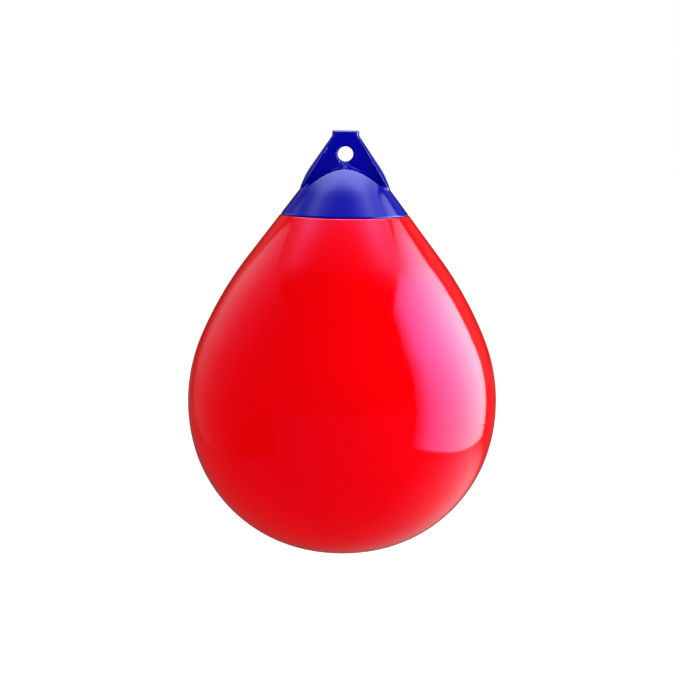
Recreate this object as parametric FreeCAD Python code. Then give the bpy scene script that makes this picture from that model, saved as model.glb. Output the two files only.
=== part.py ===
import FreeCAD, Part
import math
import os

# Inflatable round mooring buoy: a red PVC bladder, a solid blue rope hold moulded
# into its neck, and an inflation valve on the rope hold's rear shoulder.
# Millimetres. The origin is the centre of the rope hold's eye, +Z up, and the
# buoy's front faces -Y.

# Joint between bladder and rope hold, on a straight cone that both share
SEAM_Z = -100.0
SEAM_RADIUS = 106.0
CONE_HALF = 37.0         # half angle of the cone, degrees
SEAM_EDGE = 0.7          # chamfer on both edges at the seam
NECK_WALL = 8.0          # bladder wall at the neck rim
SPIGOT_CLEAR = 0.3       # between the rope hold's spigot and the neck's inside
SPIGOT_LENGTH = 12.0
SPIGOT_WALL = 6.0

# Bladder: a teardrop of revolution, the cone and then four tangent arcs
CONE_DROP = 69.8         # height of the bladder's straight cone
UPPER_RADIUS = 609.5
FLANK_START = 22.9       # degrees that the profile still spreads where the flank starts
FLANK_RADIUS = 279.0
BELLY_START = 15.2       # degrees that it closes where the belly starts
BELLY_RADIUS = 242.0
BASE_START = 77.9        # degrees that it closes where the flattened base starts
WALL = 3.2               # bladder wall
NECK_TAPER = 60.0        # height over which the wall thickens towards the rim

# Rope hold: shoulder
DOME_FOOT_Z = -66.0      # where the cone turns into the dome
DOME_RADIUS = 150.0
CAP_WALL = 11.0          # shoulder wall over the hollow underside
RECESS_TOP_Z = -58.0     # ceiling of the hollow underside
RECESS_BEVEL = 14.0

# Rope hold: eye, and the web and collar round it
EYE_RADIUS = 12.75
EYE_ROUND = 5.5
WEB_HALF = 14.0          # half thickness of the web
COLLAR_WIDTH = 6.5
COLLAR_PROUD = 1.8
COLLAR_BEVEL = 1.2

# Rope hold: lug, rounded oblong sections that spread and deepen downwards
TOP_Z = 38.0
TOP_HALF_WIDTH = 21.5
TOP_HALF_DEPTH = 15.0
TOP_CORNER = 5.0         # corner radius of the top section
TOP_ROUND = 3.0          # rounding of the top edge
SHOULDER_DROP = 8.0      # height of the upright sides at the top
SHOULDER_BLEND = 3.0
SPREAD = 0.682           # growth of the half width per mm below the shoulders
KNEE_Z = -30.0           # where the sides turn steeper
KNEE_BLEND = 9.0
FOOT_Z = -58.0           # where the sides run into the shoulder dome
FOOT_PROUD = 0.8
SKIRT_DROP = 22.0        # the lug goes on this far below its foot, inside the cone
DEEPEN = 0.18            # growth of the half depth per mm downwards
CORNER_GROWTH = 0.19     # growth of the corner radius per mm downwards
STATIONS = 12            # sections from top to skirt
STATION_POWER = 1.5      # crowds the sections towards the top

# Rope hold: pocket on each face, between two flanges and above an arched ledge
EYE_TO_CREASE = 5.1      # from the eye to the crease between web and ledge
CREASE_INSET = 6.0       # the crease's feet are this far inside the lip's feet
CREASE_RISE = 5.2        # and this far above the lug's foot
CREASE_POWER = 1.6       # how sharply the crease's arch bends down
LIP_DEPTH = 31.5         # depth of the ledge's lip at the apex and at its feet
LIP_FOOT_DEPTH = 24.5
LIP_POWER = 6
ARCH_POINTS = 4          # points on each half of the ledge's arch, below its apex
FLANGE_FOOT = 5.0        # width of a flange at its foot
POCKET_OVER = 9.0        # the pocket's cutter goes on this far above the top
POCKET_TOP_HALF = 10.5
FLANGE_DRAFT = 12.0      # degrees
FLOOR_ROUND = 3.0        # pocket floor to flange and to ledge
RIM_BEVEL = 1.2          # flange edges along the pocket

# Inflation valve on the rear shoulder, square to the cone
VALVE_Z = -82.0
SPOT_DEPTH = 0.8         # spot seat below the cone's surface at its centre
FLANGE_RADIUS = 10.0
FLANGE_HEIGHT = 1.6
BARREL_RADIUS = 7.0
BARREL_LENGTH = 14.0
VALVE_BORE = 4.0
BARREL_CLEAR = 0.15
WASHER_RADIUS = 6.8
WASHER_THICK = 1.0
HEAD_RADIUS = 6.2
HEAD_HEIGHT = 3.0
SHANK_CLEAR = 0.2
SHANK_LENGTH = 10.0
SLOT_WIDTH = 1.6
SLOT_DEPTH = 1.4

REACH = 60.0             # how far cutters go on past what they cut

V = FreeCAD.Vector
ORIGIN = V(0, 0, 0)
UP = V(0, 0, 1)
THROUGH = V(0, 1, 0)     # direction of the eye
CONE_TAN = math.tan(math.radians(CONE_HALF))
CONE_COS = math.cos(math.radians(CONE_HALF))
CONE_SIN = math.sin(math.radians(CONE_HALF))


def cone_radius(z):
    """Radius of the straight cone, which bladder and rope hold share."""
    return SEAM_RADIUS - (z - SEAM_Z) * CONE_TAN


NECK_INSIDE = SEAM_RADIUS - NECK_WALL / CONE_COS
SPIGOT_RADIUS = NECK_INSIDE - SPIGOT_CLEAR
SPIGOT_INSIDE = SPIGOT_RADIUS - SPIGOT_WALL
DOME_CENTRE_R = cone_radius(DOME_FOOT_Z) - DOME_RADIUS * CONE_COS
DOME_CENTRE_Z = DOME_FOOT_Z - DOME_RADIUS * CONE_SIN
COLLAR_RADIUS = EYE_RADIUS + COLLAR_WIDTH
COLLAR_HALF = WEB_HALF + COLLAR_PROUD


def line(a, b):
    return Part.LineSegment(a, b).toShape()


def arc(a, b, c):
    return Part.Arc(a, b, c).toShape()


def revolve(edges):
    face = Part.Face(Part.Wire(Part.__sortEdges__(edges)))
    return face.revolve(ORIGIN, UP, 360)


def is_circle(edge, radius, z):
    """Whether an edge is the full horizontal circle of this radius at this height."""
    if edge.Degenerated or not isinstance(edge.Curve, Part.Circle):
        return False
    return abs(edge.Curve.Radius - radius) < 0.01 and abs(edge.Curve.Center.z - z) < 0.01


def on_arc(centre, radius, closing):
    """Point of a profile arc that has closed this many degrees past upright."""
    a = math.radians(closing)
    return V(centre.x + radius * math.cos(a), 0, centre.z - radius * math.sin(a))


def bladder_profile(inset):
    """Arcs of the bladder's profile from the cone down to the pole, moved inwards."""
    spans = (
        (UPPER_RADIUS, -CONE_HALF, -FLANK_START),
        (FLANK_RADIUS, -FLANK_START, BELLY_START),
        (BELLY_RADIUS, BELLY_START, BASE_START),
    )
    point = V(cone_radius(SEAM_Z - CONE_DROP), 0, SEAM_Z - CONE_DROP)
    edges = []
    for radius, start, end in spans:
        centre = point - on_arc(ORIGIN, radius, start)
        bends = [on_arc(centre, radius - inset, a) for a in (start, (start + end) / 2, end)]
        edges.append(arc(*bends))
        point = on_arc(centre, radius, end)
    base = point.x / math.cos(math.radians(BASE_START))
    centre = V(0, 0, point.z + base * math.sin(math.radians(BASE_START)))
    bends = [on_arc(centre, base - inset, a) for a in (BASE_START, (BASE_START + 90) / 2, 90)]
    edges.append(arc(*bends))
    return edges


def ends(edges):
    """First and last point of a chain of profile edges."""
    first, last = edges[0], edges[-1]
    return first.valueAt(first.FirstParameter), last.valueAt(last.LastParameter)


def make_body():
    """Hollow bladder: wall thickening to a flat annular rim at the neck, closed at the pole."""
    outer, inner = bladder_profile(0.0), bladder_profile(WALL)
    outer_start, pole = ends(outer)
    inner_start, inner_pole = ends(inner)
    taper_z = SEAM_Z - NECK_TAPER
    rim_out = V(SEAM_RADIUS, 0, SEAM_Z)
    rim_in = V(NECK_INSIDE, 0, SEAM_Z)
    taper = V(cone_radius(taper_z) - WALL / CONE_COS, 0, taper_z)
    edges = outer + inner
    for a, b in ((outer_start, rim_out), (rim_out, rim_in), (rim_in, taper), (taper, inner_start)):
        edges.append(line(a, b))
    edges.append(line(inner_pole, pole))
    shell = revolve(edges)
    rim = [e for e in shell.Edges if is_circle(e, SEAM_RADIUS, SEAM_Z)]
    return shell.makeChamfer(SEAM_EDGE, rim)


def dome_z(radius):
    """Height of the shoulder dome at a distance from the axis."""
    return DOME_CENTRE_Z + math.sqrt(DOME_RADIUS ** 2 - (radius - DOME_CENTRE_R) ** 2)


def dome_radius(z):
    """Radius of the shoulder, dome or cone, at a height."""
    if z < DOME_FOOT_Z:
        return cone_radius(z)
    return DOME_CENTRE_R + math.sqrt(DOME_RADIUS ** 2 - (z - DOME_CENTRE_Z) ** 2)


def make_cap():
    """Shoulder dome and cone, solid to the axis, with the spigot below the seam."""
    foot = V(cone_radius(DOME_FOOT_Z), 0, DOME_FOOT_Z)
    top = V(0, 0, dome_z(0.0))
    seat = V(SEAM_RADIUS, 0, SEAM_Z)
    end_z = SEAM_Z - SPIGOT_LENGTH
    points = [seat, V(SPIGOT_RADIUS, 0, SEAM_Z), V(SPIGOT_RADIUS, 0, end_z), V(0, 0, end_z), top]
    edges = [line(a, b) for a, b in zip(points, points[1:])]
    edges.append(arc(top, V(foot.x / 2, 0, dome_z(foot.x / 2)), foot))
    edges.append(line(foot, seat))
    return revolve(edges)


def make_recess():
    """Cutter for the hollow underside: the cone moved inwards, open at the spigot's end."""
    shift = CAP_WALL / CONE_COS
    foot_z = SEAM_Z + (SEAM_RADIUS - shift - SPIGOT_INSIDE) / CONE_TAN
    top = cone_radius(RECESS_TOP_Z) - shift
    mouth_z = SEAM_Z - SPIGOT_LENGTH - REACH
    points = [
        V(0, 0, mouth_z),
        V(SPIGOT_INSIDE, 0, mouth_z),
        V(SPIGOT_INSIDE, 0, foot_z),
        V(top, 0, RECESS_TOP_Z),
        V(0, 0, RECESS_TOP_Z),
        V(0, 0, mouth_z),
    ]
    recess = revolve([line(a, b) for a, b in zip(points, points[1:])])
    return recess.makeChamfer(RECESS_BEVEL, [e for e in recess.Edges if is_circle(e, top, RECESS_TOP_Z)])


def ramp(past, blend):
    """0 before a corner, the distance past it after, with a rounded turn between."""
    if past <= -blend:
        return 0.0
    if past >= blend:
        return past
    return (past + blend) ** 2 / (4 * blend)


def lug_half_width(z):
    """Half width of the lug: upright at the top, spreading, then steeper down to its foot."""
    shoulder_z = TOP_Z - SHOULDER_DROP
    knee = TOP_HALF_WIDTH + SPREAD * (shoulder_z - KNEE_Z)
    foot = dome_radius(FOOT_Z) + FOOT_PROUD
    foot_spread = (foot - knee) / (KNEE_Z - FOOT_Z)
    below_shoulder = SPREAD * ramp(shoulder_z - z, SHOULDER_BLEND)
    below_knee = (SPREAD - foot_spread) * ramp(KNEE_Z - z, KNEE_BLEND)
    return TOP_HALF_WIDTH + below_shoulder - below_knee


def lug_section(z):
    """Rounded oblong outline of the lug at a height."""
    w = lug_half_width(z)
    d = TOP_HALF_DEPTH + DEEPEN * (TOP_Z - z)
    c = TOP_CORNER + CORNER_GROWTH * (TOP_Z - z)
    bend = c * math.sqrt(0.5)
    edges = []
    for sx, sy in ((1, 1), (-1, 1), (-1, -1), (1, -1)):
        centre = V(sx * (w - c), sy * (d - c), z)
        side, face = centre + V(sx * c, 0, 0), centre + V(0, sy * c, 0)
        middle = centre + V(sx * bend, sy * bend, 0)
        ends_here = (side, face) if sx == sy else (face, side)
        edges.append(arc(ends_here[0], middle, ends_here[1]))
        if sx == sy:
            edges.append(line(face, V(-face.x, face.y, z)))
        else:
            edges.append(line(side, V(side.x, -side.y, z)))
    return Part.Wire(edges)


def make_lug():
    """Loft through the sections, closer together at the shoulders, its top edge rounded."""
    skirt_z = FOOT_Z - SKIRT_DROP
    shares = [(i / (STATIONS - 1)) ** STATION_POWER for i in range(STATIONS)]
    sections = [lug_section(TOP_Z + (skirt_z - TOP_Z) * s) for s in shares]
    lug = Part.makeLoft(sections, True, False)
    rim = [e for e in lug.Edges if e.BoundBox.ZMin > TOP_Z - 0.01]
    return lug.makeFillet(TOP_ROUND, rim)


def pocket_wires():
    """Pocket outline at the web and, along the same rulings, far outside the lug."""
    outer_half = LIP_DEPTH + REACH / 4
    foot_x = lug_half_width(FOOT_Z) - FLANGE_FOOT
    crease_apex = -(EYE_RADIUS + EYE_TO_CREASE)
    crease_fall = FOOT_Z + CREASE_RISE - crease_apex
    inner, outer = [], []
    for share in (i / ARCH_POINTS for i in range(ARCH_POINTS + 1)):
        crease_z = crease_apex + crease_fall * share ** CREASE_POWER
        crease = V((foot_x - CREASE_INSET) * share, -WEB_HALF, crease_z)
        depth = LIP_DEPTH + (LIP_FOOT_DEPTH - LIP_DEPTH) * share ** LIP_POWER
        x = foot_x * share
        lip = V(x, -depth, dome_z(math.hypot(x, depth)))
        inner.append(crease)
        outer.append(crease + (lip - crease) * ((outer_half - WEB_HALF) / (depth - WEB_HALF)))
    top_z = TOP_Z + POCKET_OVER
    spread = (outer_half - WEB_HALF) * math.tan(math.radians(FLANGE_DRAFT))
    tops = (V(POCKET_TOP_HALF, -WEB_HALF, top_z), V(POCKET_TOP_HALF + spread, -outer_half, top_z))
    return [pocket_wire(arch, top) for arch, top in zip((inner, outer), tops)]


def pocket_wire(arch, top):
    """Closed outline: arch through the points and their mirror images, flanges, top."""
    curve = Part.BSplineCurve()
    curve.interpolate([mirror(p) for p in arch[:0:-1]] + arch)
    foot = arch[-1]
    rest = [foot, top, mirror(top), mirror(foot)]
    return Part.Wire([curve.toShape()] + [line(a, b) for a, b in zip(rest, rest[1:])])


def mirror(p):
    return V(-p.x, p.y, p.z)


def make_pocket():
    """Drafted cutter for one face's pocket, widening from the web, its floor edges rounded."""
    cutter = Part.makeLoft(pocket_wires(), True, True)
    floor = []
    for edge in cutter.Edges:
        box = edge.BoundBox
        if box.YMin > -WEB_HALF - 0.01 and box.ZMin < TOP_Z:
            floor.append(edge)
    return cutter.makeFillet(FLOOR_ROUND, floor)


def flange_rims(solid):
    """Long edges along the pockets: each falls steadily outwards on one side of the eye."""
    rims = []
    for edge in solid.Edges:
        box = edge.BoundBox
        one_side = box.XMin * box.XMax > 0
        if one_side and box.ZLength > -FOOT_Z / 2 and box.YLength > (LIP_FOOT_DEPTH - WEB_HALF) / 2:
            rims.append(edge)
    return rims


def half_turn(shape):
    turned = shape.copy()
    turned.rotate(ORIGIN, UP, 180)
    return turned


def make_eye():
    """Cutter for the eye: a straight bore that flares out over rounded edges."""
    flare = EYE_RADIUS + EYE_ROUND
    part_way = EYE_ROUND * (1 - math.sqrt(0.5))
    bore_end = V(EYE_RADIUS, EYE_ROUND - COLLAR_HALF, 0)
    mouth = V(flare, -COLLAR_HALF, 0)
    outside = -COLLAR_HALF - REACH
    edges = [
        line(ORIGIN, V(0, outside, 0)),
        line(V(0, outside, 0), V(flare, outside, 0)),
        line(V(flare, outside, 0), mouth),
        arc(mouth, V(EYE_RADIUS + part_way, part_way - COLLAR_HALF, 0), bore_end),
        line(bore_end, V(EYE_RADIUS, 0, 0)),
        line(V(EYE_RADIUS, 0, 0), ORIGIN),
    ]
    front = Part.Face(Part.Wire(edges)).revolve(ORIGIN, THROUGH, 360)
    return front.fuse(half_turn(front)).removeSplitter()


def make_collar():
    collar = Part.makeCylinder(COLLAR_RADIUS, 2 * COLLAR_HALF, V(0, -COLLAR_HALF, 0), THROUGH)
    rims = [e for e in collar.Edges if isinstance(e.Curve, Part.Circle)]
    return collar.makeChamfer(COLLAR_BEVEL, rims)


def valve_axis():
    """Centre of the valve's spot seat on the rear shoulder, and the cone's normal there."""
    normal = V(0, CONE_COS, CONE_SIN)
    return V(0, cone_radius(VALVE_Z), VALVE_Z) - normal * SPOT_DEPTH, normal


def make_rope_hold():
    solid = make_cap().fuse(make_lug())
    pocket = make_pocket()
    solid = solid.cut(pocket).cut(half_turn(pocket)).removeSplitter()
    solid = solid.makeChamfer(RIM_BEVEL, flange_rims(solid))
    solid = solid.fuse(make_collar()).cut(make_eye()).cut(make_recess())
    point, normal = valve_axis()
    solid = solid.cut(Part.makeCylinder(FLANGE_RADIUS + BARREL_CLEAR, REACH, point, normal))
    hole = BARREL_RADIUS + BARREL_CLEAR
    solid = solid.cut(Part.makeCylinder(hole, REACH, point - normal * REACH / 2, normal))
    rim = [e for e in solid.Edges if is_circle(e, SEAM_RADIUS, SEAM_Z)]
    return solid.makeChamfer(SEAM_EDGE, rim)


def make_valve_insert():
    """Flanged bush square to the cone, its flange in a spot seat; the thread is left plain."""
    point, normal = valve_axis()
    flange = Part.makeCylinder(FLANGE_RADIUS, FLANGE_HEIGHT, point, normal)
    barrel = Part.makeCylinder(BARREL_RADIUS, BARREL_LENGTH, point - normal * BARREL_LENGTH, normal)
    bush = flange.fuse(barrel).removeSplitter()
    bore = Part.makeCylinder(VALVE_BORE, 2 * REACH, point - normal * REACH, normal)
    return bush.cut(bore)


def make_valve_washer():
    point, normal = valve_axis()
    seat = point + normal * FLANGE_HEIGHT
    ring = Part.makeCylinder(WASHER_RADIUS, WASHER_THICK, seat, normal)
    return ring.cut(Part.makeCylinder(VALVE_BORE, 2 * REACH, seat - normal * REACH, normal))


def make_valve_screw():
    """Slotted plug: round head on the washer, shank in the bush."""
    point, normal = valve_axis()
    seat = point + normal * (FLANGE_HEIGHT + WASHER_THICK)
    head = Part.makeCylinder(HEAD_RADIUS, HEAD_HEIGHT, seat, normal)
    shank_radius = VALVE_BORE - SHANK_CLEAR
    shank = Part.makeCylinder(shank_radius, SHANK_LENGTH, seat - normal * SHANK_LENGTH, normal)
    slot_floor = V(-REACH / 2, -SLOT_WIDTH / 2, HEAD_HEIGHT - SLOT_DEPTH)
    slot = Part.makeBox(REACH, SLOT_WIDTH, REACH, slot_floor)
    slot.Placement = FreeCAD.Placement(seat, FreeCAD.Rotation(UP, normal))
    return head.fuse(shank).cut(slot)


def export(name, shape):
    shape = shape.Solids[0]
    print(name, "valid", shape.isValid(), "volume cm3 %.1f" % (shape.Volume / 1000))
    shape.exportStep("parts/" + name + ".step")


os.makedirs("parts", exist_ok=True)
export("body", make_body())
export("rope_hold", make_rope_hold())
export("valve_insert", make_valve_insert())
export("valve_washer", make_valve_washer())
export("valve_screw", make_valve_screw())
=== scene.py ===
"""Inflatable mooring buoy: a red PVC bladder, a blue rope hold moulded into its neck, and
the inflation valve on the rope hold's rear shoulder. Metres, in the frame of the CAD model."""
import math

import bmesh
import bpy
import numpy as np
from mathutils import Matrix, Vector


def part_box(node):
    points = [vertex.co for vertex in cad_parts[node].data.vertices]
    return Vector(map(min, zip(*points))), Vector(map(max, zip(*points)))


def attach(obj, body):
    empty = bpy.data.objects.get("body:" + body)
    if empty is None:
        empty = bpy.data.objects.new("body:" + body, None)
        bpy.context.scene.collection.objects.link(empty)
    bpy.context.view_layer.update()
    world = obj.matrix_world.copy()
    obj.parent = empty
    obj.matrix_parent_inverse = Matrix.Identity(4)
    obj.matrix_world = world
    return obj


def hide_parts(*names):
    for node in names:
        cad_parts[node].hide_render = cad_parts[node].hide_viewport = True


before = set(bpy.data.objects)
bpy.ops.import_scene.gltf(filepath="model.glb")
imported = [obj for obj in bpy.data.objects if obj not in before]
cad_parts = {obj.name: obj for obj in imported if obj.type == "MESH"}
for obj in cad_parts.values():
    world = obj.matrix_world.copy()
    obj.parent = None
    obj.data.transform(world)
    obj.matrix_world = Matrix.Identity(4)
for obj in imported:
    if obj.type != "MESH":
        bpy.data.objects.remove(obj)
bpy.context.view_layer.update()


# ---------------------------------------------------------------- bladder
# The float itself: a teardrop of plasticised PVC, rotationally moulded in one piece with a
# wall of about 3 mm and blown up hard. The two halves of the mould meet just below its
# widest ring and leave a fine raised line there.

MM = 0.001
BLADDER_WALL = 3.2 * MM
NECK_WALL = 8.0 * MM       # the wall at the neck's rim, square to the neck
CONE_HALF = 37.0           # half angle of the straight neck, degrees
CONE_DROP = 69.8 * MM      # height of the straight neck
BLADDER_ARCS = (           # radius, and how far the profile has closed at its two ends, degrees
    (609.5 * MM, -CONE_HALF, -22.9),
    (279.0 * MM, -22.9, 15.2),
    (242.0 * MM, 15.2, 77.9),
)
RIM_REACH = 1.76 * MM      # how far the rounding of the neck's rim goes from its corner
RIM_POINTS = 9
PARTING_Z = -430.0 * MM
PARTING_HIGH = 0.18 * MM
PARTING_WIDE = 1.4 * MM
PARTING_REACH = 4 * PARTING_WIDE    # past this, nothing of the parting line is left
PARTING_STEP = PARTING_WIDE / 5
AROUND = 240               # facets round the axis
STEP = 3.6 * MM            # spacing of profile points on the outside
STEP_INSIDE = 3 * STEP


def arc_points(centre, radius, start, end, spacing):
    """Points of an arc from one angle to the other, in degrees below level: centre plus
    radius times (cosine, minus sine), at about the given spacing."""
    count = max(3, int(abs(math.radians(end - start)) * radius / spacing) + 2)
    a = np.radians(np.linspace(start, end, count))
    return centre + radius * np.stack((np.cos(a), -np.sin(a)), axis=1)


def teardrop_profile(top, inset, spacing):
    """Half outline (r, z) of the bladder moved inwards by inset, from the end of its
    straight neck to the pole. Each arc starts where the last one ended, tangent to it, and
    the base arc is centred on the axis, so its radius is r over the cosine of its start."""
    point = np.array(top)
    runs = []
    for radius, start, end in BLADDER_ARCS:
        a, b = math.radians(start), math.radians(end)
        centre = point - radius * np.array((math.cos(a), -math.sin(a)))
        runs.append(arc_points(centre, radius - inset, start, end, spacing)[:-1])
        point = centre + radius * np.array((math.cos(b), -math.sin(b)))
    base_start = BLADDER_ARCS[-1][2]
    radius = point[0] / math.cos(math.radians(base_start))
    centre = np.array((0.0, point[1] + radius * math.sin(math.radians(base_start))))
    base = arc_points(centre, radius - inset, base_start, 90.0, spacing)
    base[-1, 0] = 0.0
    return np.concatenate(runs + [base])


def neck_foot_radius(widest):
    """Radius where the straight neck ends: the widest radius less what the arcs above it
    add, which is each arc's radius times the cosine at its end less that at its start."""
    r = 0.0
    for radius, start, end in BLADDER_ARCS:
        end = min(end, 0.0) if start < 0 else start
        r += radius * (math.cos(math.radians(end)) - math.cos(math.radians(start)))
    return widest - r


def with_parting_line(outer):
    """The outside with finer points round PARTING_Z, and on it a bell curve: PARTING_HIGH
    times e to the minus square of the distance from PARTING_Z in shares of PARTING_WIDE."""
    z = np.arange(-PARTING_REACH, PARTING_REACH, PARTING_STEP) + PARTING_Z
    ring = np.stack((np.interp(z, outer[:, 1], outer[:, 0]), z), axis=1)
    away = np.abs(outer[:, 1] - PARTING_Z) > PARTING_REACH + PARTING_WIDE / 2
    below = outer[away & (outer[:, 1] < PARTING_Z)]
    above = outer[away & (outer[:, 1] > PARTING_Z)]
    outer = np.concatenate((below, ring, above))
    outer[:, 0] += PARTING_HIGH * np.exp(-((outer[:, 1] - PARTING_Z) / PARTING_WIDE) ** 2)
    return outer


def bladder_outline():
    """Closed wall section from the outer pole up the outside, over the neck's rim and down
    the inside to the inner pole. The rim is a parabola between the two points that lie
    RIM_REACH from its corner."""
    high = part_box("body")[1]
    cone = math.radians(CONE_HALF)
    foot = (neck_foot_radius(high.x), high.z - CONE_DROP)
    outer = with_parting_line(teardrop_profile(foot, 0.0, STEP)[::-1])
    rim = np.array((foot[0] - CONE_DROP * math.tan(cone), high.z))
    on_cone = rim - RIM_REACH * np.array((-math.sin(cone), math.cos(cone)))
    on_top = rim - np.array((RIM_REACH, 0.0))
    t = np.linspace(0.0, 1.0, RIM_POINTS)[:, None]
    rounded = (1 - t) ** 2 * on_cone + 2 * t * (1 - t) * rim + t ** 2 * on_top
    neck_in = rim - np.array((NECK_WALL / math.cos(cone), 0.0))
    inner = teardrop_profile(foot, BLADDER_WALL, STEP_INSIDE)
    return np.concatenate((outer, rounded, neck_in[None], inner))


def turned(name, outline, around):
    """Surface of revolution: every outline point (r, z) goes to (r cos a, r sin a, z) for
    around angles a, and the two points on the axis close it as poles."""
    body = outline[1:-1]
    a = np.arange(around) * (2 * math.pi / around)
    r, z = body[:, 0:1], body[:, 1:2]
    grid = np.stack((r * np.cos(a), r * np.sin(a), z + 0 * a), axis=2).reshape(-1, 3)
    poles = np.array(((0, 0, outline[0, 1]), (0, 0, outline[-1, 1])))
    rows, here = len(body), np.arange(around)
    after = (here + 1) % around
    base = (np.arange(rows - 1) * around)[:, None]
    corners = (base + here, base + after, base + after + around, base + here + around)
    quads = np.stack(corners, axis=2).reshape(-1, 4)
    first, last = len(grid), len(grid) + 1
    end = (rows - 1) * around
    caps = [(first, int(j), int(i)) for i, j in zip(here, after)]
    caps += [(last, int(end + i), int(end + j)) for i, j in zip(here, after)]
    mesh = bpy.data.meshes.new(name)
    mesh.from_pydata(np.concatenate((grid, poles)).tolist(), [], quads.tolist() + caps)
    mesh.polygons.foreach_set("use_smooth", np.ones(len(mesh.polygons), bool))
    piece = bpy.data.objects.new(name, mesh)
    bpy.context.collection.objects.link(piece)
    return piece


def linear(code):
    """Linear RGBA of an sRGB hex colour."""
    c = np.array([int(code[i:i + 2], 16) for i in (0, 2, 4)]) / 255
    c = np.where(c <= 0.04045, c / 12.92, ((c + 0.055) / 1.055) ** 2.4)
    return (*c.tolist(), 1.0)


def add(tree, kind, settings=None, links=None):
    """A new node with its settings (an input's name or number, a property, or a ramp's stops
    as pairs of place and grey) and links."""
    new = tree.nodes.new(kind)
    for key, value in (settings or {}).items():
        if key == "stops":
            stops = new.color_ramp.elements
            while len(stops) < len(value):
                stops.new(0.5)
            for stop, (place, grey) in zip(stops, value):
                stop.position, stop.color = place, (grey, grey, grey, 1.0)
        elif isinstance(key, int) or key in new.inputs:
            new.inputs[key].default_value = value
        else:
            setattr(new, key, value)
    for key, value in (links or {}).items():
        tree.links.new(value, new.inputs[key])
    return new


def blank(name):
    """An empty node material."""
    made = bpy.data.materials.new(name)
    made.use_nodes = True
    made.node_tree.nodes.clear()
    return made, made.node_tree


def glossy_pvc(name, deep, clear, gloss, shine):
    """PVC off a polished mould: a dense pigment that clouds a little between the colours deep
    and clear over some 90 mm, a wet gloss that clouds between two roughnesses over 25 mm, and
    a skin that is not dead flat: swells 45 mm apart and a faint orange peel 2.5 mm apart. The
    pigment lies right under the skin, so a reflection takes on the tint shine."""
    made, tree = blank(name)
    place = add(tree, "ShaderNodeTexCoord").outputs["Object"]
    cloud = add(tree, "ShaderNodeTexNoise", {"Scale": 1 / (90 * MM), "Detail": 3.0},
                {"Vector": place})
    tone = add(tree, "ShaderNodeMix", {"data_type": "RGBA", 6: linear(deep), 7: linear(clear)},
               {0: cloud.outputs[0]})
    haze = add(tree, "ShaderNodeTexNoise", {"Scale": 1 / (25 * MM), "Detail": 4.0},
               {"Vector": place})
    rough = add(tree, "ShaderNodeMapRange", {"To Min": gloss[0], "To Max": gloss[1]},
                {0: haze.outputs[0]})
    swell = add(tree, "ShaderNodeTexNoise", {"Scale": 1 / (45 * MM), "Detail": 1.0},
                {"Vector": place})
    peel = add(tree, "ShaderNodeTexNoise", {"Scale": 1 / (2.5 * MM), "Detail": 2.0},
               {"Vector": place})
    soft = add(tree, "ShaderNodeBump", {"Strength": 0.25, "Distance": 0.4 * MM},
               {"Height": swell.outputs[0]})
    skin = add(tree, "ShaderNodeBump", {"Strength": 0.10, "Distance": 0.02 * MM},
               {"Height": peel.outputs[0], "Normal": soft.outputs[0]})
    shader = add(tree, "ShaderNodeBsdfPrincipled", {"IOR": 1.53, "Specular Tint": linear(shine)},
                 {"Base Color": tone.outputs[2], "Roughness": rough.outputs[0],
                  "Normal": skin.outputs[0]})
    add(tree, "ShaderNodeOutputMaterial", None, {"Surface": shader.outputs[0]})
    return made


red_pvc = glossy_pvc("red_plasticised_pvc", "F60000", "FD0003", (0.06, 0.09), "FF7EFF")

bladder = turned("bladder", bladder_outline(), AROUND)
bladder.data.materials.append(red_pvc)
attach(bladder, "root")
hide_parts("body")


# ---------------------------------------------------------------- rope hold
# The solid lug that the buoy hangs from, injection moulded in hard blue PVC and fused to the
# bladder's neck. The mould leaves every edge of it soft: the flanges, the ledge's lip, the
# collar round the eye and the foot where the lug grows out of the shoulder.

SOFTEN = 1.37 * MM         # size of the cells that the edges are melted over
SOFTEN_PASSES = 3
EASE_PASSES = 3            # after the faces have been pressed
EASE = 0.5                 # how far a point goes to its neighbours' mean in one pass

# From here on in mm. Heights count from the eye's middle, depths from the lug's middle plane.
# Outline of the lug from the front
TOP_Z = 38.0
TOP_HALF_WIDTH = 21.5
SHOULDER_Z = 30.0          # where the upright sides end
SHOULDER_BLEND = 3.0
SPREAD = 0.682             # growth of the half width per mm from there to the knee
KNEE_Z = -30.0
KNEE_HALF = 62.42
KNEE_BLEND = 9.0
FOOT_Z = -58.0
FOOT_HALF = 74.7

# Shoulder of the rope hold, on which the lug stands
SHOULDER = (80.4, -66.0)   # where the neck's cone ends (r, z) and an arc goes on, tangent to it
SHOULDER_SOLID = 150.0     # radius of that arc on the CAD solid
SHOULDER_FULL = 261.0      # and on the real one, which is fuller

# Flanks of the lug, which narrow from the middle plane to the flanges' rims
FRONT_TOP = 15.0           # half depth of the lug at its top
DEEPEN = 0.18              # its growth per mm downwards
FLANK_FLAT = 1.5           # half of the flat strip along the parting plane
FLANK_IN = (               # height, and how far the rim lies inside the outline
    (-60.0, 2.0), (-54.9, 2.5), (-41.6, 6.3), (-26.6, 8.8),
    (-10.0, 7.4), (6.6, 4.5), (20.0, 3.6), (38.0, 2.0),
)
RIM_ROUND = 4.0            # radius of the rounding along the rim
RIM_END = 1.7              # how far behind the flange's face that rounding ends
OUTLINE_PROUD = 0.7        # what the last easing takes off the outline again
FLANK_CATCH = 3.0          # a point this near to a flank's face is drawn out to it
FLANK_FOOT = 0.8           # the flanks start this far above the shoulder
FLANK_FADE = 3.0           # and are pressed in full this much higher

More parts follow.
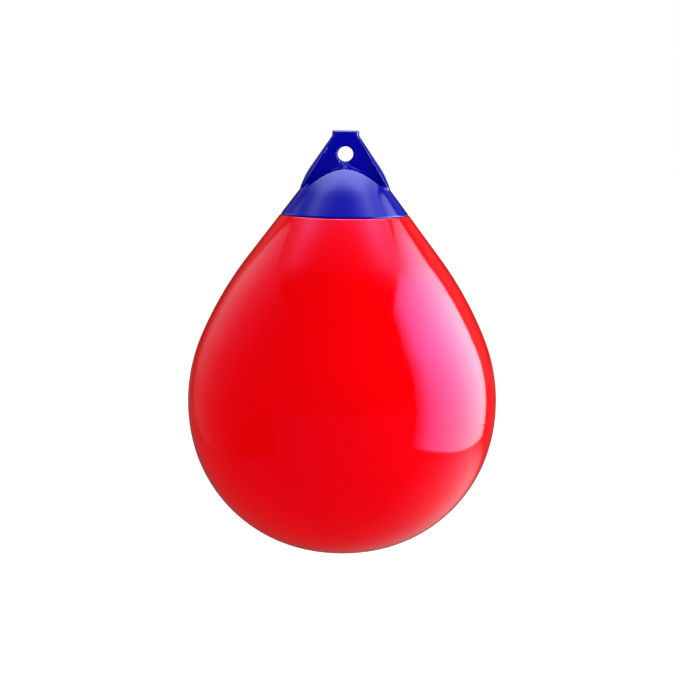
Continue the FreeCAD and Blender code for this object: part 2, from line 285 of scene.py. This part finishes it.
# Ledge in the pocket between the flanges, and the fillet by which it runs up into the web
WEB_HALF = 14.0            # half thickness of the web
LIP_DEPTH = (              # distance from the middle, and depth of the ledge's lip there
    (0.0, 40.0), (20.0, 39.7), (39.3, 38.6), (55.0, 35.5), (68.3, 30.5), (80.0, 25.0),
)
CREASE_TOP = -17.85        # height of the corner between web and ledge, in the middle
CREASE_FALL = -34.95       # and how much it falls to its feet
CREASE_FOOT = 63.7         # distance of those feet from the middle
CREASE_POWER = 1.35
WALL_TOP = 10.5            # half width of the pocket at WALL_TOP_Z on the web
WALL_TOP_Z = 47.0
WALL_SPREAD = 0.533        # its growth per mm downwards
DRAFT = 0.2126             # and per mm away from the web
WALL_FADE = 3.0            # from the pocket's wall to where the ledge is pressed in full
SWEEP = 5.0                # reach of the fillet
SWEEP_MORE = 4.0           # how much farther it reaches below the eye
SWEEP_HALF = 16.0          # and how far from the middle that fades
POCKET_TOP = -10.0         # the ledge is pressed below this height
EYE_CLEAR = 14.0           # radius round the eye's middle in which the web is left as it is

# Which points are pressed
SIDEWAYS = 0.35            # least share of its normal by which a point faces a flank's way
UPWARDS = 0.35             # least share for the ledge and the shoulder
FORWARDS = 0.6             # least share for the web
OFF_WEB = 0.3              # ledge points start this far before the web's face
OFF_FRONT = 0.5            # shoulder points start this far before the lug's front
NEAR_LEDGE = 6.0           # ledge points lie this near to the CAD solid's shoulder
NEAR_SHOULDER = 1.5        # shoulder points lie this near to it
NEAR_WEB = 1.0             # web points lie at most this far behind its face or below the crease
SHOULDER_FADE = 8.0        # height over which the fuller shoulder grows out of the cone


def melted(name, node):
    """A copy of a CAD node with its edges melted: its doubles are merged, its skin is laid
    anew in even cells, and each point is drawn to its neighbours' mean a few times."""
    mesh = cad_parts[node].data.copy()
    shell = bmesh.new()
    shell.from_mesh(mesh)
    bmesh.ops.remove_doubles(shell, verts=shell.verts, dist=1e-6)
    shell.to_mesh(mesh)
    shell.free()
    mesh.materials.clear()
    rough = bpy.data.objects.new(name + "_cells", mesh)
    bpy.context.collection.objects.link(rough)
    cells = rough.modifiers.new("cells", "REMESH")
    cells.mode, cells.voxel_size = "VOXEL", SOFTEN
    melt = rough.modifiers.new("melt", "SMOOTH")
    melt.factor, melt.iterations = EASE, SOFTEN_PASSES
    evaluated = rough.evaluated_get(bpy.context.evaluated_depsgraph_get())
    done = bpy.data.meshes.new_from_object(evaluated)
    bpy.data.objects.remove(rough)
    done.name = name
    done.polygons.foreach_set("use_smooth", np.ones(len(done.polygons), bool))
    piece = bpy.data.objects.new(name, done)
    bpy.context.collection.objects.link(piece)
    return piece


def ramp(past, blend):
    """0, then the amount past a bend, joined by a parabola over blend on both sides."""
    eased = (past + blend) ** 2 / (4 * blend)
    return np.where(past < -blend, 0.0, np.where(past > blend, past, eased))


def lug_half_width(z):
    """Half width of the lug seen from the front: upright at the top, then a straight spread
    from the shoulder to the knee and a steeper one to the foot."""
    foot_spread = (FOOT_HALF - KNEE_HALF) / (KNEE_Z - FOOT_Z)
    width = TOP_HALF_WIDTH + SPREAD * ramp(SHOULDER_Z - z, SHOULDER_BLEND)
    return width - (SPREAD - foot_spread) * ramp(KNEE_Z - z, KNEE_BLEND)


def shoulder_height(r, radius):
    """Height of the shoulder at a distance from the axis: the neck's cone, then from SHOULDER
    inwards an arc of the radius whose centre lies along the cone's normal."""
    slope = math.radians(CONE_HALF)
    centre_r = SHOULDER[0] - radius * math.cos(slope)
    centre_z = SHOULDER[1] - radius * math.sin(slope)
    arc = centre_z + np.sqrt(np.maximum(radius ** 2 - (r - centre_r) ** 2, 1.0))
    return np.where(r < SHOULDER[0], arc, SHOULDER[1] - (r - SHOULDER[0]) / math.tan(slope))


def along(table, at):
    """Straight interpolation in a table of pairs."""
    return np.interp(at, *np.transpose(table))


def fillet_rise(reach, distance):
    """How far a fillet stands off one face at a distance from the corner: reach less
    distance, squared, over four reaches."""
    return np.maximum(reach - distance, 0.0) ** 2 / (4 * reach)


def pressed_flank(x, y, z, sideways, front):
    """New x of every point. The flank's face is the outline, less FLANK_IN in full at the
    flange's rim and in part before it, less a parabola of radius RIM_ROUND along the rim.
    Points that face sideways and lie close to it are put on it, and no point stays outside."""
    to_rim = np.clip((y - FLANK_FLAT) / (front - FLANK_FLAT), 0.0, 1.0)
    inwards = along(FLANK_IN, z) * to_rim
    inwards += np.maximum(0.0, y - (front - RIM_END - RIM_ROUND)) ** 2 / (2 * RIM_ROUND)
    gap = lug_half_width(z) + OUTLINE_PROUD - inwards - x
    on_flank = (sideways > SIDEWAYS) & (gap < FLANK_CATCH)
    above = z - shoulder_height(np.hypot(x, y), SHOULDER_SOLID) - FLANK_FOOT
    return x + np.clip(above / FLANK_FADE, 0.0, 1.0) * np.where(on_flank, gap, np.minimum(gap, 0.0))


def press_lug(piece):
    """Presses the melted skin against the mould's faces. Both halves of the lug are alike, so
    x and y count from the middle. Ledge: a ramp from the crease, which falls by a power of x,
    to the lip, which lies on the full shoulder. Before the lip and on the shoulder z becomes
    that of the full shoulder. The fillet stands off the web and off the ledge alike."""
    mesh = piece.data
    at = np.empty(len(mesh.vertices) * 3)
    mesh.vertices.foreach_get("co", at)
    at = at.reshape(-1, 3) / MM
    facing = np.empty(len(mesh.vertices) * 3)
    mesh.vertices.foreach_get("normal", facing)
    facing = facing.reshape(-1, 3)
    x, y, z = np.abs(at[:, 0]), np.abs(at[:, 1]), at[:, 2]
    front = FRONT_TOP + DEEPEN * (TOP_Z - z)
    flank = pressed_flank(x, y, z, facing[:, 0] * np.sign(at[:, 0]), front)

    lip = along(LIP_DEPTH, x)
    lip_z = shoulder_height(np.hypot(x, lip), SHOULDER_FULL)
    crease_z = CREASE_TOP + CREASE_FALL * np.clip(x / CREASE_FOOT, 0.0, 1.0) ** CREASE_POWER
    sweep = SWEEP + SWEEP_MORE * np.exp(-(x / SWEEP_HALF) ** 2)
    out = np.maximum(y - WEB_HALF, 0.0)
    above = z - crease_z
    ledge = crease_z + (lip_z - crease_z) * out / (lip - WEB_HALF) + fillet_rise(sweep, out)
    web = WEB_HALF + fillet_rise(sweep, np.maximum(above, 0.0))
    full = shoulder_height(np.hypot(x, y), SHOULDER_FULL)
    floor = np.where(y < lip, np.minimum(full, ledge), full)

    wall = WALL_TOP + WALL_SPREAD * (WALL_TOP_Z - z) + DRAFT * out
    pocket = np.clip((wall - x) / WALL_FADE, 0.0, 1.0) * (z < POCKET_TOP)
    over = np.abs(z - shoulder_height(np.hypot(x, y), SHOULDER_SOLID))
    in_pocket = (pocket > 0.0) & (y > WEB_HALF + OFF_WEB) & (over < NEAR_LEDGE)
    in_front = (y > front + OFF_FRONT) & (over < NEAR_SHOULDER)
    on_ledge = (facing[:, 2] > UPWARDS) & (in_pocket | in_front)
    on_web = (pocket > 0.0) & (np.abs(facing[:, 1]) > FORWARDS) & (np.hypot(x, z) > EYE_CLEAR)
    on_web &= (above > -NEAR_WEB) & (y > WEB_HALF - NEAR_WEB)
    fade = np.clip((z - SHOULDER[1]) / SHOULDER_FADE, 0.0, 1.0)

    at[:, 0] = np.copysign(flank, at[:, 0])
    at[:, 1] = np.copysign(y + on_web * pocket * np.maximum(web - y, 0.0), at[:, 1])
    at[:, 2] = z + on_ledge * np.where(in_front, 1.0, pocket) * fade * (floor - z)
    mesh.vertices.foreach_set("co", (at * MM).ravel())
    mesh.update()


blue_pvc = glossy_pvc("blue_rigid_pvc", "0101A0", "0303A8", (0.09, 0.14), "ADB4FF")

lug = melted("rope_hold_soft", "rope_hold")
press_lug(lug)
ease = lug.modifiers.new("ease", "SMOOTH")
ease.factor, ease.iterations = EASE, EASE_PASSES
lug.data.materials.append(blue_pvc)
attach(lug, "root")
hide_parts("rope_hold")


# ---------------------------------------------------------------- inflation valve
# A brass bush is set in the rear shoulder. The slotted nylon plug that closes it screws down
# on a black rubber washer.

VALVE_TILT = math.radians(90.0 - CONE_HALF)    # from straight up, towards the back


def valve_coordinates(tree):
    """Object coordinates turned and moved so that Z runs out along the valve."""
    low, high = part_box("valve_insert")
    middle = (low + high) / 2
    place = add(tree, "ShaderNodeTexCoord").outputs["Object"]
    settings = {"vector_type": "TEXTURE", "Location": middle, "Rotation": (-VALVE_TILT, 0.0, 0.0)}
    return add(tree, "ShaderNodeMapping", settings, {"Vector": place}).outputs[0]


def turned_brass():
    """Free-cutting brass off the lathe, dulled by salt air: rings 0.4 mm apart and a brown
    tarnish that gathers in patches of some 3 mm. The wave texture has a ring every 2 pi over
    20 times its scale."""
    made, tree = blank("turned_brass")
    place = valve_coordinates(tree)
    rings = add(tree, "ShaderNodeTexWave", {"wave_type": "RINGS", "rings_direction": "Z",
                "Scale": 2 * math.pi / (20 * 0.4 * MM), "Distortion": 0.4}, {"Vector": place})
    patch = add(tree, "ShaderNodeTexNoise", {"Scale": 1 / (3 * MM), "Detail": 4.0},
                {"Vector": place})
    tone = add(tree, "ShaderNodeMix", {"data_type": "RGBA", 6: linear("8A6A34"), 7: linear("D0AB62")},
               {0: patch.outputs[0]})
    rough = add(tree, "ShaderNodeMapRange", {"To Min": 0.5, "To Max": 0.28}, {0: patch.outputs[0]})
    bump = add(tree, "ShaderNodeBump", {"Strength": 0.3, "Distance": 0.03 * MM},
               {"Height": rings.outputs["Fac"]})
    shader = add(tree, "ShaderNodeBsdfPrincipled", {"Metallic": 1.0},
                 {"Base Color": tone.outputs[2], "Roughness": rough.outputs[0],
                  "Normal": bump.outputs[0]})
    add(tree, "ShaderNodeOutputMaterial", None, {"Surface": shader.outputs[0]})
    return made


def black_rubber():
    """Nitrile rubber cut from sheet: near black, matt, with a bloom of grey specks 0.6 mm apart."""
    made, tree = blank("nitrile_rubber")
    place = add(tree, "ShaderNodeTexCoord").outputs["Object"]
    bloom = add(tree, "ShaderNodeTexNoise", {"Scale": 1 / (0.6 * MM), "Detail": 3.0},
                {"Vector": place})
    tone = add(tree, "ShaderNodeMix", {"data_type": "RGBA", 6: linear("141414"), 7: linear("2C2B2A")},
               {0: bloom.outputs[0]})
    bump = add(tree, "ShaderNodeBump", {"Strength": 0.5, "Distance": 0.05 * MM},
               {"Height": bloom.outputs[0]})
    shader = add(tree, "ShaderNodeBsdfPrincipled", {"Roughness": 0.75, "IOR": 1.52},
                 {"Base Color": tone.outputs[2], "Normal": bump.outputs[0]})
    add(tree, "ShaderNodeOutputMaterial", None, {"Surface": shader.outputs[0]})
    return made


def white_nylon():
    """Moulded nylon: a warm white with a satin skin, mottled over 2 mm."""
    made, tree = blank("moulded_nylon")
    place = add(tree, "ShaderNodeTexCoord").outputs["Object"]
    mottle = add(tree, "ShaderNodeTexNoise", {"Scale": 1 / (2 * MM), "Detail": 3.0},
                 {"Vector": place})
    tone = add(tree, "ShaderNodeMix", {"data_type": "RGBA", 6: linear("DEDACE"), 7: linear("EFECE2")},
               {0: mottle.outputs[0]})
    bump = add(tree, "ShaderNodeBump", {"Strength": 0.25, "Distance": 0.03 * MM},
               {"Height": mottle.outputs[0]})
    shader = add(tree, "ShaderNodeBsdfPrincipled", {"Roughness": 0.42, "IOR": 1.53},
                 {"Base Color": tone.outputs[2], "Normal": bump.outputs[0]})
    add(tree, "ShaderNodeOutputMaterial", None, {"Surface": shader.outputs[0]})
    return made


VALVE_FINISH = {"valve_insert": turned_brass, "valve_washer": black_rubber, "valve_screw": white_nylon}
for name, finish in VALVE_FINISH.items():
    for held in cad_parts[name].material_slots:
        held.material = finish()


# ---------------------------------------------------------------- studio
# The buoy hangs half a metre above a pale floor, in plain light from every side and from a
# soft lamp at its right. Two tall light cloths and one overhead show as reflections alone:
# bright at the right, dim at the left. To a reflection the front of the room is dark.

FLOOR_Z = -1.2
ROOM = 40.0
MIDDLE = Vector((0.0, 0.0, -0.3))
FLOOR_LIFT = 0.45          # what a white floor still lacks under the plain light
BACKDROP = (0.0, 0.994, -0.11)   # from the buoy to the middle of what the camera sees behind it
ROOM_LIGHT = 0.88          # plain light from every side
PAINTED_POOL = (1.35, 0.8)         # middle of a painted pool of light on the floor, shown in reflections beside the bright cloth
PAINTED_POOL_RADIUS = 1.6
PAINTED_POOL_SHADES = (0.08, 1.1)  # painted brightness of the floor in reflections, outside the pool and in its middle
REAR = (3.6, 5.8)          # distance behind the buoy over which the floor turns white
ASIDE = (0.12, 0.26)       # sideways shares of that distance over which it turns dark again
WALL_AWAY = 1.4            # from the buoy's middle to the upright cloths


def sheet_of(name, corner, across, up, material):
    """A flat rectangle: the corner plus u times across plus v times up, with (u, v) as its UV map."""
    uv = np.array(((0, 0), (1, 0), (1, 1), (0, 1)), float)
    at = np.array(corner) + uv[:, 0:1] * np.array(across) + uv[:, 1:2] * np.array(up)
    mesh = bpy.data.meshes.new(name)
    mesh.from_pydata(at.tolist(), [], [(0, 1, 2, 3)])
    mesh.uv_layers.new(name="place").data.foreach_set("uv", uv.ravel())
    mesh.materials.append(material)
    made = bpy.data.objects.new(name, mesh)
    bpy.context.collection.objects.link(made)
    return made


def pale_floor():
    """Matt pale floor paint. The camera sees it lifted to white, keeping the shadow. A reflection
    sees a painted glow in its place: white straight behind the buoy, a painted pool of light
    beside the bright cloth, and painted shade over the rest."""
    made, tree = blank("pale_floor")
    path = add(tree, "ShaderNodeLightPath")
    place = add(tree, "ShaderNodeTexCoord").outputs["Object"]
    dust = add(tree, "ShaderNodeTexNoise", {"Scale": 4.0, "Detail": 3.0}, {"Vector": place})
    tone = add(tree, "ShaderNodeMix", {"data_type": "RGBA", 6: linear("E4E4E3"), 7: linear("EAEAE8")},
               {0: dust.outputs[0]})
    matt = add(tree, "ShaderNodeBsdfDiffuse", None, {"Color": tone.outputs[2]})
    white = add(tree, "ShaderNodeEmission", {"Color": (1, 1, 1, 1), "Strength": FLOOR_LIFT})
    lifted = add(tree, "ShaderNodeAddShader", None, {0: matt.outputs[0], 1: white.outputs[0]})

    # Painted light for reflections: a painted pool of light beside the bright cloth and painted shade
    # over the rest of the floor. No light from the cloth falls here.
    off = add(tree, "ShaderNodeVectorMath", {"operation": "DISTANCE", 1: (*PAINTED_POOL, FLOOR_Z)}, {0: place})
    painted_pool = add(tree, "ShaderNodeMapRange",
               {"interpolation_type": "SMOOTHSTEP", "From Min": PAINTED_POOL_RADIUS, "From Max": 0.0,
                "To Min": PAINTED_POOL_SHADES[0], "To Max": PAINTED_POOL_SHADES[1]}, {0: off.outputs["Value"]})
    side = add(tree, "ShaderNodeSeparateXYZ", None, {0: place})
    rear = add(tree, "ShaderNodeMapRange",
               {"interpolation_type": "SMOOTHSTEP", "From Min": REAR[0], "From Max": REAR[1]},
               {0: side.outputs["Y"]})
    aside = add(tree, "ShaderNodeMath", {"operation": "DIVIDE"},
                {0: side.outputs["X"], 1: side.outputs["Y"]})
    aside = add(tree, "ShaderNodeMath", {"operation": "ABSOLUTE"}, {0: aside.outputs[0]})
    behind = add(tree, "ShaderNodeMapRange",
                 {"interpolation_type": "SMOOTHSTEP", "From Min": ASIDE[1], "From Max": ASIDE[0]},
                 {0: aside.outputs[0]})
    behind = add(tree, "ShaderNodeMath", {"operation": "MULTIPLY"},
                 {0: rear.outputs[0], 1: behind.outputs[0]})
    look = add(tree, "ShaderNodeMath", {"operation": "MAXIMUM"},
               {0: painted_pool.outputs[0], 1: behind.outputs[0]})
    # The painted glow that a reflection sees in place of the floor: painted light and shade, and white
    # behind the buoy.
    painted_floor_glow = add(tree, "ShaderNodeEmission", {"Color": (1, 1, 1, 1)}, {"Strength": look.outputs[0]})

    straight = add(tree, "ShaderNodeMath", {"operation": "MAXIMUM"},
                   {0: path.outputs["Is Camera Ray"], 1: path.outputs["Is Transmission Ray"]})
    bright = add(tree, "ShaderNodeMixShader", None,
                 {0: straight.outputs[0], 1: matt.outputs[0], 2: lifted.outputs[0]})
    shown = add(tree, "ShaderNodeMixShader", None,
                {0: path.outputs["Is Glossy Ray"], 1: bright.outputs[0], 2: painted_floor_glow.outputs[0]})
    add(tree, "ShaderNodeOutputMaterial", None, {"Surface": shown.outputs[0]})
    return made


sheet_of("floor", (-ROOM / 2, -ROOM / 2, FLOOR_Z), (ROOM, 0, 0), (0, ROOM, 0), pale_floor())


def light_cloth(name, strength, across_stops, up_stops):
    """Diffusing cloth lit from behind. Its glow is the strength times one share that follows
    u and one that follows v, each given as stops of place and share."""
    made, tree = blank(name)
    uv = add(tree, "ShaderNodeTexCoord").outputs["UV"]
    side = add(tree, "ShaderNodeSeparateXYZ", None, {0: uv})
    across = add(tree, "ShaderNodeValToRGB", {"stops": across_stops}, {0: side.outputs["X"]})
    rise = add(tree, "ShaderNodeValToRGB", {"stops": up_stops}, {0: side.outputs["Y"]})
    share = add(tree, "ShaderNodeMath", {"operation": "MULTIPLY"},
                {0: across.outputs[0], 1: rise.outputs[0]})
    level = add(tree, "ShaderNodeMath", {"operation": "MULTIPLY", 1: strength},
                {0: share.outputs[0]})
    glow = add(tree, "ShaderNodeEmission", {"Color": (1, 1, 1, 1)}, {"Strength": level.outputs[0]})
    add(tree, "ShaderNodeOutputMaterial", None, {"Surface": glow.outputs[0]})
    return made


def only_in_gloss(panel):
    """The cloth shows as a reflection alone; the lamp and the room do the lighting."""
    for ray in ("camera", "diffuse", "transmission", "shadow", "volume_scatter"):
        setattr(panel, "visible_" + ray, False)


def stand_wall(name, turn, lateral, heights, material):
    """Stands a light cloth upright, facing the buoy: its normal lies turn degrees round from
    the front, and lateral and heights are its edges, in shares of WALL_AWAY. Lateral grows
    towards the back of the room."""
    a = math.radians(turn)
    out = Vector((math.sin(a), -math.cos(a), 0.0))
    rear = Vector((math.cos(a), math.sin(a), 0.0)) * math.copysign(1.0, turn)
    corner = MIDDLE + WALL_AWAY * (out + rear * lateral[0] + Vector((0, 0, heights[0])))
    across = rear * (lateral[1] - lateral[0]) * WALL_AWAY
    up = Vector((0, 0, heights[1] - heights[0])) * WALL_AWAY
    only_in_gloss(sheet_of(name, corner, across, up, material))


stand_wall("right_wall", 75.0, (-0.45, 1.42), (-0.53, 1.25), light_cloth(
    "bright_cloth", 9.4,
    ((0.0, 0.0), (0.06, 0.25), (0.14, 0.68), (0.28, 0.93), (0.5, 1.0), (0.75, 0.82),
     (0.95, 0.55), (1.0, 0.25)),
    ((0.0, 0.5), (0.2, 0.7), (0.39, 0.88), (0.607, 1.0), (0.72, 0.9), (0.803, 0.8),
     (0.888, 0.6), (0.944, 0.35), (1.0, 0.2))))
stand_wall("left_wall", -70.0, (-0.4, 8.0), (-0.64, 1.3), light_cloth(
    "dim_cloth", 1.0,
    ((0.0, 0.0), (0.05, 0.13), (0.12, 0.5), (0.19, 0.92), (0.25, 1.0), (0.37, 0.85),
     (0.46, 0.5), (0.6, 0.25), (1.0, 0.1)),
    ((0.0, 0.16), (0.25, 0.22), (0.48, 0.42), (0.65, 0.6), (0.8, 0.85), (1.0, 0.9))))
only_in_gloss(sheet_of("top_cloth", (-1.2, -0.59, 0.9), (2.2, -0.2, 0), (0, 1.8, 0), light_cloth(
    "top_cloth", 7.3,
    ((0.0, 0.03), (0.091, 0.08), (0.155, 0.2), (0.241, 0.42), (0.39, 0.8), (0.545, 1.0),
     (0.705, 0.88), (0.795, 0.68), (0.877, 0.36), (0.94, 0.23), (1.0, 0.25)),
    ((0.0, 0.0), (0.11, 0.03), (0.139, 0.06), (0.183, 0.16), (0.233, 0.36), (0.278, 0.66),
     (0.322, 0.93), (0.367, 1.0), (0.9, 1.0), (1.0, 0.5)))))

side_lamp = bpy.data.objects.new("side_lamp", bpy.data.lights.new("side_lamp", "AREA"))
side_lamp.data.size, side_lamp.data.energy = 1.6, 30.0
side_lamp.location = (2.0, -0.6, 0.5)
side_lamp.rotation_euler = (MIDDLE - side_lamp.location).to_track_quat("-Z", "Y").to_euler()
side_lamp.visible_glossy = False
side_lamp.visible_camera = False
bpy.context.collection.objects.link(side_lamp)

# The room beyond the floor. The camera sees it white, and so does a reflection of what lies
# straight behind the buoy. Elsewhere a reflection shows it dark.
ROOM_GLOSS = ((0.5, 0.01), (0.75, 0.03), (0.87, 0.2), (0.93, 0.1), (0.96, 0.03), (0.9955, 0.03),
              (0.9975, 1.0))

world = bpy.data.worlds.new("studio")
bpy.context.scene.world = world
world.use_nodes = True
tree = world.node_tree
tree.nodes.clear()
path = add(tree, "ShaderNodeLightPath")
look = add(tree, "ShaderNodeTexCoord").outputs["Generated"]
ahead = add(tree, "ShaderNodeVectorMath", {"operation": "DOT_PRODUCT", 1: BACKDROP}, {0: look})
ahead = add(tree, "ShaderNodeMapRange", {"From Min": -1.0}, {0: ahead.outputs["Value"]})
dark = add(tree, "ShaderNodeValToRGB", {"stops": ROOM_GLOSS}, {0: ahead.outputs[0]})
room = add(tree, "ShaderNodeMix", {"data_type": "FLOAT", 2: ROOM_LIGHT},
           {0: path.outputs["Is Glossy Ray"], 3: dark.outputs[0]})
level = room.outputs[0]
for ray in ("Is Camera Ray", "Is Transmission Ray"):
    level = add(tree, "ShaderNodeMath", {"operation": "MAXIMUM"},
                {0: level, 1: path.outputs[ray]}).outputs[0]
glow = add(tree, "ShaderNodeBackground", {"Color": (1, 1, 1, 1)}, {"Strength": level})
add(tree, "ShaderNodeOutputWorld", None, {"Surface": glow.outputs[0]})


# ---------------------------------------------------------------- camera
# A long lens five metres away, a little above the belly and level but for a slight roll.

AIM = Vector((-0.0047, 0.0, -0.3078))
AWAY = 5.0
ABOVE = math.radians(6.3)
ROLL = math.radians(0.8)

camera = bpy.data.objects.new("camera", bpy.data.cameras.new("camera"))
bpy.context.collection.objects.link(camera)
camera.data.lens, camera.data.sensor_width = 160.0, 36.0
back = Vector((0.0, -math.cos(ABOVE), math.sin(ABOVE)))
right = Vector((1.0, 0.0, 0.0))
turn = Matrix((right, back.cross(right), back)).transposed().to_4x4()
camera.matrix_world = Matrix.Translation(AIM + back * AWAY) @ turn @ Matrix.Rotation(ROLL, 4, "Z")
bpy.context.scene.camera = camera
bpy.context.scene.view_settings.view_transform = "Standard"
